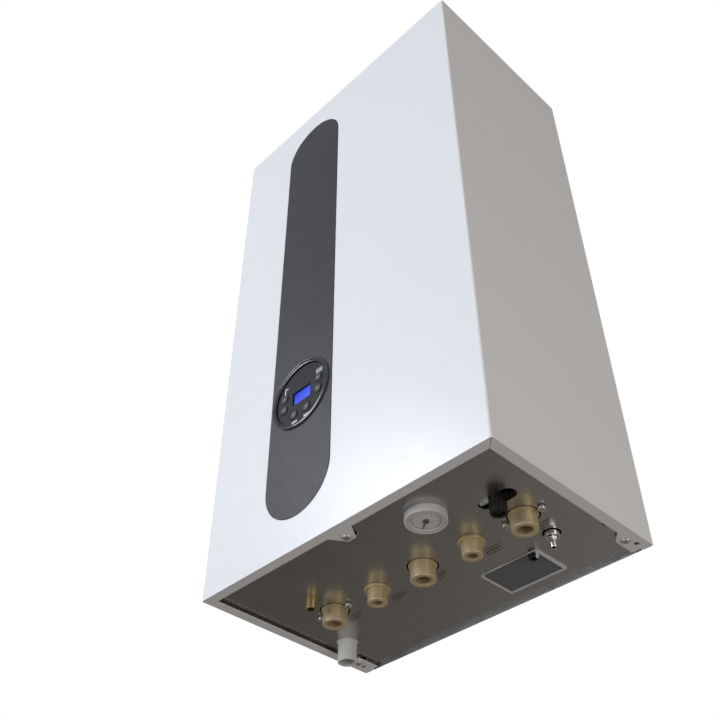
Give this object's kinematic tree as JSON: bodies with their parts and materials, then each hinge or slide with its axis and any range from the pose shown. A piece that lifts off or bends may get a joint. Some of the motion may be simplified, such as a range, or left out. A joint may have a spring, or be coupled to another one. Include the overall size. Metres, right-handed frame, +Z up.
{
  "type": "condensing gas boiler",
  "caption": "Wall-hung condensing combination gas boiler: white casing with a dark rounded strip and round control panel, brass pipe tails and gauge under it, flue collar on top.",
  "frame": {"origin": "on the wall plane, midway across the casing, at the height of the casing's bottom rim", "axes": "+Z up, -Y out of the wall towards the front panel, +X to the right seen from the front"},
  "size_m": [0.4, 0.2505, 0.807],
  "materials": {
    "white_paint": "fine-textured semi-gloss powder coat",
    "black_plastic": "satin moulded plastic",
    "fascia_plastic": "satin dark grey moulded plastic",
    "ring_plastic": "gloss",
    "button_rubber": "satin",
    "display_window": "backlit blue window",
    "board": "solder-masked laminate",
    "zinc_steel": "galvanised sheet, satin",
    "dark_sheet": "semi-gloss coated sheet steel",
    "brass": "satin raw brass",
    "chromed": "bright nickel plating",
    "screw_steel": "zinc plated",
    "copper": "satin copper tube",
    "cast_aluminium": "as-cast",
    "cast_iron": "painted dark grey",
    "stainless": "brushed",
    "red_plastic": "satin",
    "red_paint": "satin paint",
    "white_plastic": "satin",
    "dial_white": "matt printed card",
    "ceramic": "glazed ceramic"
  },
  "bodies": {
    "chassis": {"back_frame": "zinc_steel", "bottom_plate": "dark_sheet", "top_plate": "zinc_steel", "wall_bracket": "zinc_steel", "control_box": "black_plastic", "control_face": "fascia_plastic", "display": "display_window", "circuit_board": "board", "flow_tail": "brass", "hot_water_tail": "brass", "gas_tail": "brass", "cold_water_tail": "brass", "return_tail": "brass", "block_screws": "screw_steel", "return_block": "brass", "flow_block": "brass", "plate_exchanger": "stainless", "pump_volute": "cast_iron", "pump_motor": "black_plastic", "valve_motor": "white_plastic", "relief_valve": "brass", "fill_valve": "chromed", "drain_cock": "chromed", "gauge_case": "white_plastic", "gauge_dial": "dial_white", "cable_gland": "black_plastic", "label_frame": "white_plastic", "expansion_vessel": "red_paint", "water_pipes": "copper", "gas_pipes": "copper", "gas_valve": "cast_aluminium", "gas_air_mixer": "cast_aluminium", "air_silencer": "black_plastic", "fan_housing": "cast_aluminium", "fan_motor": "black_plastic", "mixture_duct": "cast_aluminium", "burner_door": "cast_aluminium", "burner_tube": "stainless", "electrodes": "ceramic", "exchanger_drum": "stainless", "exchanger_coil": "stainless", "condensate_trap": "white_plastic", "flue_duct": "white_plastic", "flue_collar": "white_plastic"},
    "casing": {"casing": "white_paint", "casing_screws": "screw_steel", "fascia_strip": "fascia_plastic", "bezel_ring": "ring_plastic"},
    "left_up_button": {"button_left_up": "button_rubber"},
    "left_down_button": {"button_left_down": "button_rubber"},
    "right_up_button": {"button_right_up": "button_rubber"},
    "right_down_button": {"button_right_down": "button_rubber"},
    "low_left_button": {"button_low_left": "button_rubber"},
    "low_right_button": {"button_low_right": "button_rubber"},
    "needle": {"gauge_needle": "black_plastic"},
    "filling_knob": {"fill_knob": "black_plastic"},
    "drain_turner": {"drain_spindle": "chromed"},
    "relief_turner": {"relief_knob": "red_plastic"},
    "fan_rotor": {"fan_impeller": "stainless"},
    "pump_rotor": {"pump_impeller": "white_plastic"}
  },
  "joints": [
    {"name": "casing_slide", "type": "slide", "parent": "chassis", "child": "casing", "axis": [0, -1, 0], "range_m": [0, 0.27]},
    {"name": "left_up_press", "type": "slide", "parent": "chassis", "child": "left_up_button", "axis": [0, 1, 0], "range_m": [0, 0.001], "stiffness_N_per_m": 300},
    {"name": "left_down_press", "type": "slide", "parent": "chassis", "child": "left_down_button", "axis": [0, 1, 0], "range_m": [0, 0.001], "stiffness_N_per_m": 300},
    {"name": "right_up_press", "type": "slide", "parent": "chassis", "child": "right_up_button", "axis": [0, 1, 0], "range_m": [0, 0.001], "stiffness_N_per_m": 300},
    {"name": "right_down_press", "type": "slide", "parent": "chassis", "child": "right_down_button", "axis": [0, 1, 0], "range_m": [0, 0.001], "stiffness_N_per_m": 300},
    {"name": "low_left_press", "type": "slide", "parent": "chassis", "child": "low_left_button", "axis": [0, 1, 0], "range_m": [0, 0.001], "stiffness_N_per_m": 300},
    {"name": "low_right_press", "type": "slide", "parent": "chassis", "child": "low_right_button", "axis": [0, 1, 0], "range_m": [0, 0.001], "stiffness_N_per_m": 300},
    {"name": "needle_turn", "type": "hinge", "parent": "chassis", "child": "needle", "pos_m": [0.075, -0.1935, 0], "axis": [0, 0, 1], "range_deg": [0, 270], "stiffness_Nm_per_rad": 0.00002},
    {"name": "filling_turn", "type": "hinge", "parent": "chassis", "child": "filling_knob", "pos_m": [0.14, -0.166, 0], "axis": [0, 0, 1], "range_deg": [0, 270]},
    {"name": "drain_turn", "type": "hinge", "parent": "chassis", "child": "drain_turner", "pos_m": [0.14, -0.0835, 0], "axis": [0, 0, 1], "range_deg": [0, 180]},
    {"name": "relief_turn", "type": "hinge", "parent": "chassis", "child": "relief_turner", "pos_m": [-0.12, -0.175, 0.081], "axis": [0, 1, 0], "range_deg": [0, 90]},
    {"name": "fan_spin", "type": "hinge", "parent": "chassis", "child": "fan_rotor", "pos_m": [0.125, -0.19, 0.455], "axis": [0, 1, 0], "continuous": true},
    {"name": "pump_spin", "type": "hinge", "parent": "chassis", "child": "pump_rotor", "pos_m": [0.14, -0.12, 0.16], "axis": [0, 1, 0], "continuous": true}
  ]
}
